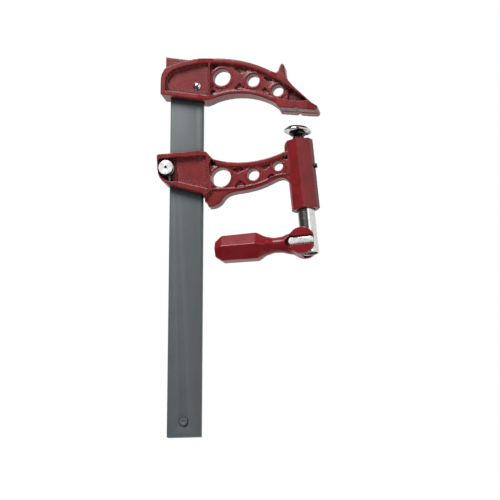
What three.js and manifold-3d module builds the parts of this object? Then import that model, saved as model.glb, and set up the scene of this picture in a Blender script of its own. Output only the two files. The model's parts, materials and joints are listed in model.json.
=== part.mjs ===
// F clamp with a folding handle.
// Millimetres, +Z up. The flat bar stands on z = 0 with its lower end face centred on the origin.
// +X points from the bar towards the spindle, and -Y is the front of the clamp.
import * as THREE from "three";
import { mergeVertices } from "three/addons/utils/BufferGeometryUtils.js";
import Module from "manifold-3d";

const wasm = await Module();
wasm.setup();

// ---- driving dimensions ----
const GAP = 0.3; // free space between neighbouring pieces
const REACH = 200; // longer than any piece, for cutting tools

const BAR = { width: 35, thickness: 8, length: 392, edgeRadius: 1.4 };
const STOP_PIN = { radius: 4.2, height: 15, proud: 1.6, chamfer: 1 };

const HOUSING_HALF = 13; // half thickness of both jaws where they hold the bar
const PANEL_HALF = 7.2; // half thickness of the wall over the bar
const RIB_HALF = 5; // half thickness of the web's ribs and rings
const WEB_HALF = 2.8; // half thickness of the web inside its relief pockets
const FLANGE = 5.4; // width of the rim round each jaw

const FIXED = {
  back: { x: 25, z: 268.5, radius: 128.5 }, // centre and radius of the arched back
  arch: { x: 53, z: 284, radius: 72.4 }, // centre and radius of the hollow under the arm
  left: -26.6,
  leftFoot: 359.6,
  rightFoot: 350.2,
  faceLeft: { x: 98.6, z: 337.4 },
  faceLength: 38.6,
  faceDrop: 8, // degrees that the tip face leans
  armHalf: 9,
  hornHalf: 7.6,
  socketTop: 402.6,
  holes: [
    { x: 37.8, z: 376.5, radius: 9.2, ring: 12 },
    { x: 71.2, z: 371, radius: 6.8, ring: 9.6 },
    { x: 97.2, z: 358, radius: 6, ring: 9 },
  ],
};
const RIVET = { x: 11.7, z: 367.6, shank: 3, head: 4.4, rise: 2.4 };
const GROOVES = { depth: 2.3, lengthHalf: 1.6, crossHalf: 2.8, crossAt: 19.5 }; // V grooves in the tip face

const BRAKE = { x: -19.6, z: 279, radius: 7.7, half: 13.8, chamfer: 0.8, flat: 1.8, flatHalf: 4.6 };
const KEEPER = { radius: 1.6, x: 2.2, y: -9.6, top: -5.6, length: 12 };
const KEEPER_GROOVE = { half: 2.1, depth: 2.6 }; // the groove round the brake pin that the keeper enters
const ARM_TILT = 5.5; // degrees that the loose sliding jaw hangs from square
const ARM = {
  armHalf: 7.5,
  lowerHalf: 6.4, // half thickness of the lower flange and of the lug
  topHollow: { x: 91, z: 98.5, radius: 104 }, // centre and radius of the hollow above the arm
  holes: [
    { x: 55.7, z: -16.9, radius: 10.2, ring: 12.4 },
    { x: 89.5, z: -19.1, radius: 6.2, ring: 8.6 },
    { x: 116.1, z: -14, radius: 5, ring: 7.4 },
  ],
};

const BARREL = {
  x: 139.4,
  bottom: -63.6,
  top: 11,
  halfWidth: 14.7,
  halfDepth: 13.5,
  sideHalf: 7,
  ridgeShift: -0.4,
  draft: 3,
  boreRadius: 9.4,
};
const NUT = { radius: 9.8, length: 36, boreRadius: 7.5 };
const LOCK_SCREW = { radius: 2.6, z: -18, inner: 8.4, proud: 1.8, chamfer: 0.8 };

const PIVOT = { z: -97.8, pinRadius: 3.4 };
const SPINDLE = {
  radius: 7,
  bottom: -108,
  neckRadius: 5.9,
  neckDrop: 2, // how far the neck starts below the barrel's top
  neckTop: 15,
  shoulder: 15.7,
  studRadius: 3, // the stud that holds the ball
  studTop: 19.6,
};
const TUBE = { radius: 8.8, boreRadius: 7.3, top: -57, bottom: -109.6 };
const BALL = { z: 21.2, radius: 7, seatRadius: 4.7, crown: 5 }; // crown: degrees up to the flat top
const COLLAR = { radius: 8.6, foot: 7.9, bottom: -4, top: -0.4, grip: 30 }; // grip: degrees under the ball
const PAD = { radius: 14.4, rise: 4, lip: 0.6, wall: 1.3, tilt: 8.5 };

const HANDLE_TILT = 3.2; // degrees that the folded grip leans above square to the spindle
const GRIP = { far: 97.4, shoulder: 89.6, near: 54, neck: 36, halfHeight: 13, halfDepth: 14.5 };
const HEAD = { offset: 6.3, radius: 14, cheek: 13, lobe: 15, lobeEdge: 5.6, forkHalf: 9.4, forkDepth: 15.4 };
const KEY = { half: 4.1, right: 6.2, left: 19.8, base: 10, top: 14.4 };

const radians = THREE.MathUtils.degToRad;

// ---- solids ----
function solidFrom(geometry) {
  const bare = geometry.clone();
  bare.deleteAttribute("normal");
  bare.deleteAttribute("uv");
  const merged = mergeVertices(bare, 1e-4);
  const corners = merged.index.array;
  const kept = [];
  for (let i = 0; i < corners.length; i += 3) {
    const [a, b, c] = [corners[i], corners[i + 1], corners[i + 2]];
    if (a !== b && b !== c && c !== a) kept.push(a, b, c);
  }
  const vertProperties = merged.attributes.position.array;
  return new wasm.Manifold(
    new wasm.Mesh({ numProp: 3, vertProperties, triVerts: Uint32Array.from(kept) }),
  );
}

function geometryFrom(solid) {
  const mesh = solid.getMesh();
  const geometry = new THREE.BufferGeometry();
  geometry.setAttribute("position", new THREE.BufferAttribute(mesh.vertProperties, 3));
  geometry.setIndex(new THREE.BufferAttribute(mesh.triVerts, 1));
  geometry.computeVertexNormals();
  return geometry;
}

const join = (...solids) => solids.reduce((whole, next) => whole.add(next));
const cut = (solid, ...tools) => tools.reduce((rest, tool) => rest.subtract(tool), solid);

const points = (pairs) => pairs.map(([x, z]) => new THREE.Vector2(x, z));
const smooth = (pairs, steps) => new THREE.SplineCurve(points(pairs)).getPoints(steps);

// Points on an arc, from one angle to the other in degrees.
function arc(x, z, radius, from, to, steps = 12) {
  const curve = new THREE.EllipseCurve(x, z, radius, radius, radians(from), radians(to), to < from);
  return curve.getPoints(steps);
}

// An outline in the XZ plane, given depth from y = front to y = back.
function slab(outline, front, back) {
  const shape = new THREE.Shape(outline);
  const geometry = new THREE.ExtrudeGeometry(shape, { depth: back - front, bevelEnabled: false });
  geometry.rotateX(Math.PI / 2);
  geometry.translate(0, back, 0);
  return solidFrom(geometry);
}

const plate = (outline, half) => slab(outline, -half, half);

// The same cut on the front and on the back, leaving a wall of twice the given half thickness.
function facePockets(solid, outline, half) {
  return cut(solid, slab(outline, -REACH, -half), slab(outline, half, REACH));
}

// An outline in the XY plane, given height from z = bottom to z = top.
function post(outline, bottom, top) {
  const shape = new THREE.Shape(outline);
  const geometry = new THREE.ExtrudeGeometry(shape, { depth: top - bottom, bevelEnabled: false });
  geometry.translate(0, 0, bottom);
  return solidFrom(geometry);
}

function pinAcross(radius, front, back, x, z, sides = 32) {
  const geometry = new THREE.CylinderGeometry(radius, radius, back - front, sides);
  geometry.translate(x, (front + back) / 2, z);
  return solidFrom(geometry);
}

function pinUp(radius, bottom, top, x, y, sides = 32) {
  const geometry = new THREE.CylinderGeometry(radius, radius, top - bottom, sides);
  geometry.rotateX(Math.PI / 2);
  geometry.translate(x, y, (bottom + top) / 2);
  return solidFrom(geometry);
}

// A body of revolution about the Z axis, from [radius, z] pairs.
function turned(pairs, sides = 32) {
  const geometry = new THREE.LatheGeometry(points(pairs), sides);
  geometry.rotateX(Math.PI / 2);
  return solidFrom(geometry);
}

function roundedRectangle(halfX, halfY, radius, steps = 4) {
  return [
    ...arc(halfX - radius, halfY - radius, radius, 0, 90, steps),
    ...arc(radius - halfX, halfY - radius, radius, 90, 180, steps),
    ...arc(radius - halfX, radius - halfY, radius, 180, 270, steps),
    ...arc(halfX - radius, radius - halfY, radius, 270, 360, steps),
  ];
}

// A convex head on a pin that points to -Y or +Y.
function domedPin({ x, z, shank, head, rise }, seat) {
  const sphere = (head * head + rise * rise) / (2 * rise);
  const half = THREE.MathUtils.radToDeg(Math.asin(head / sphere));
  const dome = arc(0, seat + rise - sphere, sphere, 90 - half, 90, 6);
  const profile = [
    [0, -seat],
    [shank, -seat],
    [shank, seat],
    [head, seat],
    ...dome.slice(1).map((point) => [point.x, point.y]),
  ];
  profile[profile.length - 1][0] = 0;
  return turned(profile, 24).rotate([90, 0, 0]).translate([x, 0, z]);
}

function piece(name, solid, { color, roughness, metalness }) {
  const material = new THREE.MeshStandardMaterial({ color, roughness, metalness });
  const mesh = new THREE.Mesh(geometryFrom(solid), material);
  mesh.name = name;
  return mesh;
}

const PAINT = { color: 0x8c1f2b, roughness: 0.45, metalness: 0.1 };
const BAR_STEEL = { color: 0x6f7577, roughness: 0.5, metalness: 0.8 };
const BRIGHT_STEEL = { color: 0xc9c9c6, roughness: 0.25, metalness: 1 };
const DARK_STEEL = { color: 0x35312f, roughness: 0.45, metalness: 0.9 };
const PLASTIC = { color: 0x8e1420, roughness: 0.25, metalness: 0 };

// ---- bar ----
function barSolid() {
  const section = roundedRectangle(BAR.width / 2, BAR.thickness / 2, BAR.edgeRadius);
  return cut(
    post(section, 0, BAR.length),
    pinAcross(RIVET.shank + GAP, -REACH, REACH, RIVET.x, RIVET.z, 24),
    pinAcross(STOP_PIN.radius + GAP, -REACH, REACH, 0, STOP_PIN.height, 24),
  );
}

function stopPinSolid() {
  const half = BAR.thickness / 2 + STOP_PIN.proud;
  const { radius, chamfer } = STOP_PIN;
  const profile = [
    [0, -half],
    [radius - chamfer, -half],
    [radius, chamfer - half],
    [radius, half - chamfer],
    [radius - chamfer, half],
    [0, half],
  ];
  return turned(profile, 24).rotate([90, 0, 0]).translate([0, 0, STOP_PIN.height]);
}

// ---- fixed jaw ----
const faceSlope = radians(FIXED.faceDrop);
const facePoint = (along, up = 0) => [
  FIXED.faceLeft.x + along * Math.cos(faceSlope) + up * Math.sin(faceSlope),
  FIXED.faceLeft.z - along * Math.sin(faceSlope) + up * Math.cos(faceSlope),
];

function fixedOutline() {
  const { back, arch, left, leftFoot, rightFoot } = FIXED;
  return [
    ...points([[left, leftFoot], [20.5, rightFoot]]),
    ...arc(arch.x, arch.z, arch.radius, 112, 53, 12),
    ...points([facePoint(0), facePoint(FIXED.faceLength)]),
    ...points([facePoint(FIXED.faceLength + 2.2, 1.6), facePoint(FIXED.faceLength + 2.2, 5.2)]),
    ...points([[136.8, 338.4], [132.8, 341.2], [114.6, 359.6]]),
    ...smooth([[107.6, 368.6], [105.6, 376.5], [104.6, 384.6], [102, 386.8]], 8),
    ...smooth([[101, 386.2], [99.8, 383.6], [98.4, 379.6]], 5),
    ...arc(back.x, back.z, back.radius, 57, 111, 18),
    ...smooth([[-22.4, 387.4], [-26, 380], [left, 371]], 5),
  ];
}

// The rim widens over the bar and at the tip: half thickness along X, seen from above.
function fixedPlan() {
  const stations = [
    [-30, HOUSING_HALF],
    [14, HOUSING_HALF],
    [30, FIXED.armHalf],
    [90, FIXED.armHalf],
    [98, HOUSING_HALF],
    [130, HOUSING_HALF],
    [144, HOUSING_HALF - 2.4],
  ];
  const rear = [...stations].reverse();
  return points([...stations.map(([x, half]) => [x, -half]), ...rear]);
}

// The inside of the rim, from the socket's right wall to the tip.
function fixedPocket() {
  const { back, arch } = FIXED;
  return [
    ...arc(arch.x, arch.z, arch.radius + FLANGE - 1, 110, 58, 10),
    ...points([[112, 343.6], [129.6, 342.4], [111.6, 358.4]]),
    ...arc(back.x, back.z, back.radius - FLANGE, 56, 89.5, 12),
  ];
}

// The inside of the rim over the bar.
function fixedPanel() {
  const { back } = FIXED;
  return [
    ...points([[-21.2, 363.4], [24, 355]]),
    ...arc(back.x, back.z, back.radius - FLANGE, 90.5, 108, 8),
    ...smooth([[-18.2, 381.6], [-20.8, 376.8], [-21.2, 370]], 4),
  ];
}

// Three-cornered relief pockets between the holes, and the long one in the tip.
const FIXED_RELIEFS = [
  [[49.5, 386.5], [58.4, 379.6], [66, 382.6], [58, 386.8]],
  [[51, 362.6], [56.6, 368.6], [62.4, 362.6]],
  [[80.6, 375.4], [87.6, 368.6], [94.4, 368.8]],
  [[79.4, 359.6], [84, 361.8], [88.2, 355]],
  [[109.6, 359.4], [129.4, 342.6], [111.8, 343.8], [107.6, 345.6]],
  [[27, 386], [27, 390.6], [34.6, 390.6]],
  [[27, 363], [27, 359.4], [32.4, 361.2]],
];

function fixedJawSolid() {
  const { holes, socketTop } = FIXED;
  let jaw = plate(fixedOutline(), HOUSING_HALF).intersect(post(fixedPlan(), 0, 2 * BAR.length));
  jaw = facePockets(jaw, fixedPocket(), RIB_HALF);
  jaw = facePockets(jaw, fixedPanel(), PANEL_HALF);
  for (const relief of FIXED_RELIEFS) jaw = facePockets(jaw, points(relief), WEB_HALF);

  jaw = facePockets(jaw, points([[92, 378.4], [107.5, 368.5], [112, 400], [92, 400]]), FIXED.hornHalf);
  const socket = points([[-22.2, 366], [21.4, 358], [21.4, socketTop - 8.8], [-22.2, socketTop]]);
  jaw = join(jaw, plate(socket, PANEL_HALF));
  for (const hole of holes) {
    jaw = join(jaw, pinAcross(hole.ring, -RIB_HALF - 0.8, RIB_HALF + 0.8, hole.x, hole.z, 40));
  }
  for (const hole of holes) {
    jaw = cut(jaw, pinAcross(hole.radius, -REACH, REACH, hole.x, hole.z, 40));
  }

  const slotX = BAR.width / 2 + GAP;
  const slotY = BAR.thickness / 2 + GAP;
  const slot = roundedRectangle(slotX, slotY, BAR.edgeRadius);
  return cut(
    jaw,
    post(slot, 0, BAR.length + GAP),
    pinAcross(RIVET.shank + GAP, -REACH, REACH, RIVET.x, RIVET.z, 24),
    lengthGroove(),
    crossGroove(),
  );
}

// V grooves in the tip face: one along the arm and one across it.
function lengthGroove() {
  const { depth, lengthHalf } = GROOVES;
  const wedge = points([[-lengthHalf, -depth], [lengthHalf, -depth], [0, depth]]);
  const shape = new THREE.Shape(wedge);
  const geometry = new THREE.ExtrudeGeometry(shape, { depth: REACH, bevelEnabled: false });
  geometry.rotateX(Math.PI / 2);
  geometry.rotateZ(Math.PI / 2);
  geometry.rotateY(faceSlope);
  const [x, z] = facePoint(2.5);
  geometry.translate(x, 0, z);
  return solidFrom(geometry);
}

function crossGroove() {
  const { depth, crossHalf, crossAt } = GROOVES;
  const left = facePoint(crossAt - crossHalf, -1);
  const right = facePoint(crossAt + crossHalf, -1);
  return plate(points([left, right, facePoint(crossAt, depth)]), REACH);
}

// ---- sliding jaw, in its own frame: origin on the brake pin, spindle axis upright ----
const barrelLeft = BARREL.x - BARREL.halfWidth;

function armOutline() {
  const { topHollow } = ARM;
  return [
    ...smooth([[-9.2, 2], [-8.8, -6], [-6, -12.4], [0, -17.8], [5, -20.4]], 8),
    ...points([[24.8, -28.6], [36.4, -33.4], [36.4, -41], [39.6, -41.4], [39.3, -45.6]]),
    ...smooth([[40.4, -47], [47.1, -46.7], [53.1, -43.7], [57.4, -38.9], [62.4, -36], [70, -35]], 12),
    ...smooth([[78, -35], [90.8, -34], [101.7, -31.6], [112.6, -27.8], [118.4, -27]], 10),
    ...smooth([[121, -27.8], [124.2, -30.4], [127, -35]], 4),
    ...points([[BARREL.x, -35], [BARREL.x, 1]]),
    ...arc(topHollow.x, topHollow.z, topHollow.radius, 288, 246.5, 14),
    ...smooth([[43, 11.8], [28.5, 13.6], [6.8, 14.9], [-8.6, 15.6]], 6),
  ];
}

function armPlan() {
  const stations = [
    [-12, HOUSING_HALF],
    [34, HOUSING_HALF],
    [48, ARM.armHalf + 1],
    [62, ARM.armHalf],
    [BARREL.x + 1, ARM.armHalf],
  ];
  const rear = [...stations].reverse();
  return points([...stations.map(([x, half]) => [x, -half]), ...rear]);
}

function armPocket() {
  const { topHollow } = ARM;
  return [
    ...points([[45.6, -28.4], [68, -31.2]]),
    ...smooth([[78, -31.2], [90.8, -30.2], [101.7, -28], [112.4, -24.2], [119.4, -23.2]], 8),
    ...points([[barrelLeft - 0.8, -24.2], [barrelLeft - 0.8, -4.2]]),
    ...arc(topHollow.x, topHollow.z, topHollow.radius + FLANGE - 0.6, 286, 245, 14),
  ];
}

function armPanel() {
  return points([[10.4, 9.4], [10.4, -16.6], [41, -29], [42.6, 7]]);
}

// The thinner lower edge of the arm, with the lug beside the bar.
function lowerFlange() {
  return points([
    ...[[45.6, -30], [75, -33], [98, -30.4], [112, -25], [130, -25]],
    ...[[130, -55], [38, -55], [38, -35.6]],
  ]);
}

// The pocket round the brake pin's end.
function brakePocket() {
  return [
    ...points([[10.5, 9.6], [-6.8, 10.2]]),
    ...smooth([[-8.2, 2], [-7.4, -6.4], [-3.4, -11.8], [1.4, -15.2]], 8),
    ...points([[10.5, -16.6]]),
  ];
}

const ARM_RELIEFS = [
  [[66, -9.4], [73.6, -14.6], [81, -12.4], [78, -10.2]],
  [[68.4, -29.6], [75, -23.2], [82, -29.8]],
  [[96.6, -11.4], [102.4, -15.4], [109.6, -10.6]],
  [[100.4, -26.8], [107.6, -21.4], [112.6, -23]],
  [[46.6, 3.4], [46.6, -3], [52.6, -2.6]],
  [[122.6, -7.4], [127, -9.4], [127, -4.4]],
];

function barrelOutline() {
  const { x, halfWidth, halfDepth, sideHalf, ridgeShift, draft } = BARREL;
  const front = [
    [x - halfWidth + draft, -sideHalf],
    [x + ridgeShift, -halfDepth],
    [x + halfWidth - draft, -sideHalf],
  ];
  const back = front.map(([across, depth]) => [across, -depth]).reverse();
  return points([...front, [x + halfWidth, 0], ...back, [x - halfWidth, 0]]);
}

// The bar's slot: straight at the pin, and opening out below so that the jaw can hang loose.
function barSlot() {
  const outline = points([[-3.8, -60], [36.1, -60], [36.1, -34], [39.6, 20], [2.6, 20]]);
  return plate(outline, BAR.thickness / 2 + 0.5);
}

function slidingJawSolid() {
  let jaw = plate(armOutline(), HOUSING_HALF).intersect(post(armPlan(), -REACH, REACH));
  jaw = facePockets(jaw, armPocket(), RIB_HALF);
  jaw = facePockets(jaw, armPanel(), PANEL_HALF);
  jaw = facePockets(jaw, brakePocket(), PANEL_HALF - 1.2);
  for (const relief of ARM_RELIEFS) jaw = facePockets(jaw, points(relief), WEB_HALF);
  jaw = facePockets(jaw, lowerFlange(), ARM.lowerHalf);
  const tongue = points([[30, -36], [39.6, -36], [39.6, -43], [30, -43]]);
  jaw = facePockets(jaw, tongue, ARM.lowerHalf - 0.6);

  for (const hole of ARM.holes) {
    jaw = join(jaw, pinAcross(hole.ring, -RIB_HALF - 0.6, RIB_HALF + 0.6, hole.x, hole.z, 40));
  }
  jaw = join(jaw, post(barrelOutline(), BARREL.bottom, BARREL.top), barrelEar());
  for (const hole of ARM.holes) {
    jaw = cut(jaw, pinAcross(hole.radius, -REACH, REACH, hole.x, hole.z, 40));
  }

  const nutBottom = BARREL.top - NUT.length;
  return cut(
    jaw,
    barSlot(),
    pinAcross(BRAKE.radius + GAP, -REACH, REACH, 0, 0, 40),
    pinUp(KEEPER.radius + GAP, -REACH, KEEPER.top + GAP, KEEPER.x, KEEPER.y, 16),
    pinUp(BARREL.boreRadius, BARREL.bottom - 1, nutBottom, BARREL.x, 0),
    pinUp(NUT.radius + GAP, nutBottom - 1, BARREL.top + 1, BARREL.x, 0),
    lockScrewBore().translate([BARREL.x, 0, 0]),
  );
}

// A small ear on the barrel's upper left edge.
function barrelEar() {
  return plate(points([[126.6, 10.6], [124.4, 8], [123.8, 0], [131, -3], [131, 10.8]]), 3.2);
}

// The brake pin, in the bar's frame: a flat seats on the bar's left edge, and a groove takes the keeper.
function brakePinSolid() {
  const { radius, half, chamfer, flat, flatHalf } = BRAKE;
  const groove = KEEPER_GROOVE;
  const profile = [
    [0, -half],
    [radius - chamfer, -half],
    [radius, chamfer - half],
    [radius, KEEPER.y - groove.half],
    [radius - groove.depth, KEEPER.y - groove.half],
    [radius - groove.depth, KEEPER.y + groove.half],
    [radius, KEEPER.y + groove.half],
    [radius, half - chamfer],
    [radius - chamfer, half],
    [0, half],
  ];
  const body = turned(profile, 40).rotate([90, 0, 0]).mirror([0, 1, 0]);
  const seat = plate(points([[flat, -REACH], [REACH, -REACH], [REACH, REACH], [flat, REACH]]), flatHalf);
  return cut(body, seat);
}

function keeperSolid() {
  const { radius, x, y, top, length } = KEEPER;
  return pinUp(radius, top - length, top, x, y, 16);
}

// ---- spindle, in the sliding jaw's frame with x = 0 on the spindle axis ----
function nutSolid() {
  const bottom = BARREL.top - NUT.length + GAP;
  return cut(
    pinUp(NUT.radius, bottom, BARREL.top - GAP, 0, 0),
    pinUp(NUT.boreRadius, bottom - 1, BARREL.top + 1, 0, 0),
    lockScrewBore(),
  );
}

// The lock screw's hole, from inside the nut's wall out through the barrel's right side.
function lockScrewBore() {
  const length = 2 * BARREL.halfWidth;
  return pinAcross(LOCK_SCREW.radius + GAP, 0, length, 0, 0, 20)
    .rotate([0, 0, -90])
    .translate([LOCK_SCREW.inner - GAP, 0, LOCK_SCREW.z]);
}

function lockScrewSolid() {
  const { radius, z, inner, proud, chamfer } = LOCK_SCREW;
  const outer = BARREL.halfWidth + proud;
  const profile = [
    [0, inner],
    [radius, inner],
    [radius, outer - chamfer],
    [radius - chamfer, outer],
    [0, outer],
  ];
  return turned(profile, 20).rotate([0, 90, 0]).translate([0, 0, z]);
}

const crossBore = () => pinAcross(PIVOT.pinRadius + GAP, -REACH, REACH, 0, PIVOT.z, 24);

function screwSolid() {
  const { radius, bottom, neckRadius, neckDrop, neckTop, shoulder, studRadius, studTop } = SPINDLE;
  const neckBottom = BARREL.top - neckDrop;
  const profile = [
    [0, bottom],
    [radius, bottom],
    [radius, neckBottom - 1],
    [neckRadius, neckBottom],
    [neckRadius, neckTop],
    [BALL.seatRadius, shoulder],
    [studRadius, shoulder],
    [studRadius, studTop],
    [0, studTop],
  ];
  return cut(turned(profile), crossBore());
}

function tubeSolid() {
  const { radius, boreRadius, top, bottom } = TUBE;
  const profile = [
    [boreRadius, bottom],
    [radius - 0.4, bottom],
    [radius, bottom + 0.6],
    [radius, top - 1],
    [radius - 0.8, top],
    [boreRadius, top],
    [boreRadius, bottom],
  ];
  return cut(turned(profile), crossBore());
}

// ---- swivel pad, with z = 0 at the ball's centre ----
function ballSolid() {
  const { radius, seatRadius, crown } = BALL;
  const socket = SPINDLE.studRadius + GAP;
  const seatAngle = THREE.MathUtils.radToDeg(Math.acos(seatRadius / radius));
  const side = arc(0, 0, radius, -seatAngle, crown, 10).map(({ x, y }) => [x, y]);
  const [, seatZ] = side[0];
  const [, topZ] = side[side.length - 1];
  const socketTop = SPINDLE.studTop + GAP - BALL.z;
  const inside = [[0, socketTop], [socket, socketTop], [socket, seatZ]];
  return turned([[socket, seatZ], ...side, [0, topZ], ...inside]);
}

function collarSolid() {
  const { radius, foot, bottom, top, grip } = COLLAR;
  const inside = arc(0, 0, BALL.radius + GAP, -3, -grip, 5).map(({ x, y }) => [x, y]);
  const start = inside[inside.length - 1];
  return turned([start, [foot, bottom], [radius, bottom + 0.8], [radius, top], ...inside]);
}

function capSolid() {
  const { radius, rise, lip, wall } = PAD;
  const profile = [
    [0, rise],
    [0, rise - wall],
    [9.2, rise - wall],
    [11.4, rise - wall - 0.8],
    [radius - wall, 0],
    [radius - wall, -lip],
    [radius, -lip],
    [radius, 0.8],
    [12.9, rise - 1.5],
    [11.4, rise - 0.3],
    [10, rise],
    [0, rise],
  ];
  return turned(profile);
}

// ---- handle, with the origin on its pivot, the grip towards -X and the pin along Y ----
function gripSolid() {
  const { far, shoulder, near, neck, halfHeight, halfDepth } = GRIP;
  const sixSides = (height, depth) => {
    const side = depth / 2;
    return points([
      ...[[side, height], [depth, 0], [side, -height]],
      ...[[-side, -height], [-depth, 0], [-side, height]],
    ]);
  };
  const sections = [
    [-far, 7.6, 8.2],
    [-shoulder, halfHeight, halfDepth],
    [-near, halfHeight + 0.6, halfDepth],
    [-neck, 8.2, 9],
    [-26, 8.6, 10.4],
    [-13, 10.8, 12.8],
  ];
  return loft(sections.map(([x, height, depth]) => [x, sixSides(height, depth)]));
}

// A closed body through outlines of [across, up] points standing at the given places along X.
function loft(sections) {
  const count = sections[0][1].length;
  const positions = sections.flatMap(([x, outline]) => outline.flatMap((point) => [x, point.x, point.y]));
  const faces = [];
  for (let s = 0; s + 1 < sections.length; s++) {
    for (let i = 0; i < count; i++) {
      const a = s * count + i;
      const b = s * count + ((i + 1) % count);
      faces.push(a, a + count, b, b, a + count, b + count);
    }
  }
  const last = (sections.length - 1) * count;
  for (let i = 1; i + 1 < count; i++) {
    faces.push(0, i, i + 1, last, last + i + 1, last + i);
  }
  const geometry = new THREE.BufferGeometry();
  geometry.setAttribute("position", new THREE.Float32BufferAttribute(positions, 3));
  geometry.setIndex(faces);
  return solidFrom(geometry.toNonIndexed());
}

// A long oval round the pivot, reaching the given lengths to its left and right.
const capsule = (left, right, half) => [
  ...arc(half - left, 0, half, 90, 270, 10),
  ...arc(right - half, 0, half, -90, 90, 10),
];

function handleSolid() {
  const { offset, radius, cheek, lobe, lobeEdge, forkHalf, forkDepth } = HEAD;
  const headOutline = [
    ...arc(-offset, 0, radius, 114, 27, 10),
    ...arc(-offset, 0, radius, -27, -114, 10),
    ...points([[-27, -8.6], [-27, 8.6]]),
  ];
  let handle = join(gripSolid(), plate(headOutline, cheek));
  const lobeWidth = points([[-22, -16], [lobeEdge, -16], [lobeEdge, 16], [-22, 16]]);
  const lobes = pinAcross(radius - 0.8, -lobe, lobe, -offset, 0, 48);
  handle = join(handle, lobes.intersect(plate(lobeWidth, REACH)));

  const fork = join(
    pinAcross(forkDepth, -forkHalf, forkHalf, 0, 0, 48),
    plate(points([[-forkHalf - 1.4, 0], [REACH, 0], [REACH, REACH], [-forkHalf - 1.4, REACH]]), forkHalf),
  );
  handle = cut(handle, fork, pinAcross(PIVOT.pinRadius + GAP, -REACH, REACH, 0, 0, 24));
  return facePockets(handle, capsule(KEY.left + 4.4, 40, KEY.half + GAP), KEY.base - GAP);
}

// The pivot pin, with a long oval head that lies in the handle's groove and turns with the handle.
function pivotPinSolid() {
  const { half, right, left, base, top } = KEY;
  return join(
    slab(capsule(left, right, half), -top, -base),
    pinAcross(PIVOT.pinRadius, -base - 1, top, 0, 0, 24),
  );
}

function pivotPlateSolid() {
  const { half, right, left, base, top } = KEY;
  return cut(
    slab(capsule(left, right, half), base, top),
    pinAcross(PIVOT.pinRadius + GAP / 2, -REACH, REACH, 0, 0, 24),
  );
}

// ---- assembly ----
const group = new THREE.Group();
group.add(piece("bar", barSolid(), BAR_STEEL));
group.add(piece("bar_stop_pin", stopPinSolid(), DARK_STEEL));
group.add(piece("fixed_jaw", fixedJawSolid(), PAINT));
group.add(piece("fixed_jaw_rivet", domedPin(RIVET, PANEL_HALF + 0.05), BRIGHT_STEEL));

const brake = new THREE.Group();
brake.position.set(BRAKE.x, 0, BRAKE.z);
brake.add(piece("brake_pin", brakePinSolid(), BRIGHT_STEEL));
group.add(brake);

const slidingArm = new THREE.Group();
slidingArm.position.copy(brake.position);
slidingArm.rotation.y = -radians(ARM_TILT);
slidingArm.add(piece("sliding_jaw", slidingJawSolid(), PAINT));
slidingArm.add(piece("brake_pin_keeper", keeperSolid(), DARK_STEEL));
group.add(slidingArm);

const spindle = new THREE.Group();
spindle.position.x = BARREL.x;
spindle.add(piece("spindle_nut", nutSolid(), DARK_STEEL));
spindle.add(piece("nut_lock_screw", lockScrewSolid(), DARK_STEEL));
spindle.add(piece("spindle_screw", screwSolid(), DARK_STEEL));
spindle.add(piece("spindle_tube", tubeSolid(), BRIGHT_STEEL));
slidingArm.add(spindle);

const ball = new THREE.Group();
ball.position.z = BALL.z;
ball.add(piece("pad_ball", ballSolid(), DARK_STEEL));
spindle.add(ball);

const pad = new THREE.Group();
pad.rotation.y = radians(PAD.tilt);
pad.add(piece("pad_collar", collarSolid(), BRIGHT_STEEL));
pad.add(piece("pad_cap", capSolid(), BRIGHT_STEEL));
ball.add(pad);

const handle = new THREE.Group();
handle.position.z = PIVOT.z;
handle.rotation.y = radians(HANDLE_TILT);
handle.add(piece("handle_grip", handleSolid(), PLASTIC));
handle.add(piece("handle_pivot_pin", pivotPinSolid(), BRIGHT_STEEL));
handle.add(piece("handle_pivot_plate", pivotPlateSolid(), BRIGHT_STEEL));
spindle.add(handle);

export default group;
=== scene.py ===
"""The looks of an F clamp with a folding handle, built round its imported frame. Metres, +Z up.

Each piece is shaped in millimetres in a local frame that comes from the clamp's own joints, then placed.
"""
import json
import math

import bmesh
import bpy
import numpy as np
from mathutils import Matrix, Vector, noise

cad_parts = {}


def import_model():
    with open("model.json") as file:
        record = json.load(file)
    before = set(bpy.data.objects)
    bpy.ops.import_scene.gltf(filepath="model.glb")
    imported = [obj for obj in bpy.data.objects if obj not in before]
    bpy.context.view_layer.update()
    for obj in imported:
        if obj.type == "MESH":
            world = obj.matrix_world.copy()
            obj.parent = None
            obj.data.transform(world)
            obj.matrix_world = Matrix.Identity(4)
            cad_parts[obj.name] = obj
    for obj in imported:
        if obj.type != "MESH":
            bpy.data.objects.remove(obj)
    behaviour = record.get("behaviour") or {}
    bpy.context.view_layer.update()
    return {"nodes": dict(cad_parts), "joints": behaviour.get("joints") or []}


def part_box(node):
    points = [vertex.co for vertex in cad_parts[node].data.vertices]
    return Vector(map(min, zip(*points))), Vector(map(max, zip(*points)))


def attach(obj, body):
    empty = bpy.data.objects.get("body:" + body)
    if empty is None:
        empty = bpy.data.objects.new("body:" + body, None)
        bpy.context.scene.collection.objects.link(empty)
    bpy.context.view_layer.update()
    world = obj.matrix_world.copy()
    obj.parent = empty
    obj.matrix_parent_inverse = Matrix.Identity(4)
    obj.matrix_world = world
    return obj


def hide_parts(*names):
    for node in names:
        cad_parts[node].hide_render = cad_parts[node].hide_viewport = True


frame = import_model()

MM = 0.001
GAP = 0.3  # free space between neighbouring pieces, in mm

# ---- local frames, from the joints ----
joints = {joint["name"]: joint for joint in frame["joints"]}


def local_frame(position, up, side=(0, 1, 0)):
    """A frame in metres with Z along up and Y near side, for shapes given in millimetres."""
    z = Vector(up).normalized()
    x = Vector(side).cross(z).normalized()
    y = z.cross(x)
    turn = Matrix((x, y, z)).transposed().to_4x4()
    return Matrix.Translation(Vector(position)) @ turn @ Matrix.Scale(MM, 4)


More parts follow.
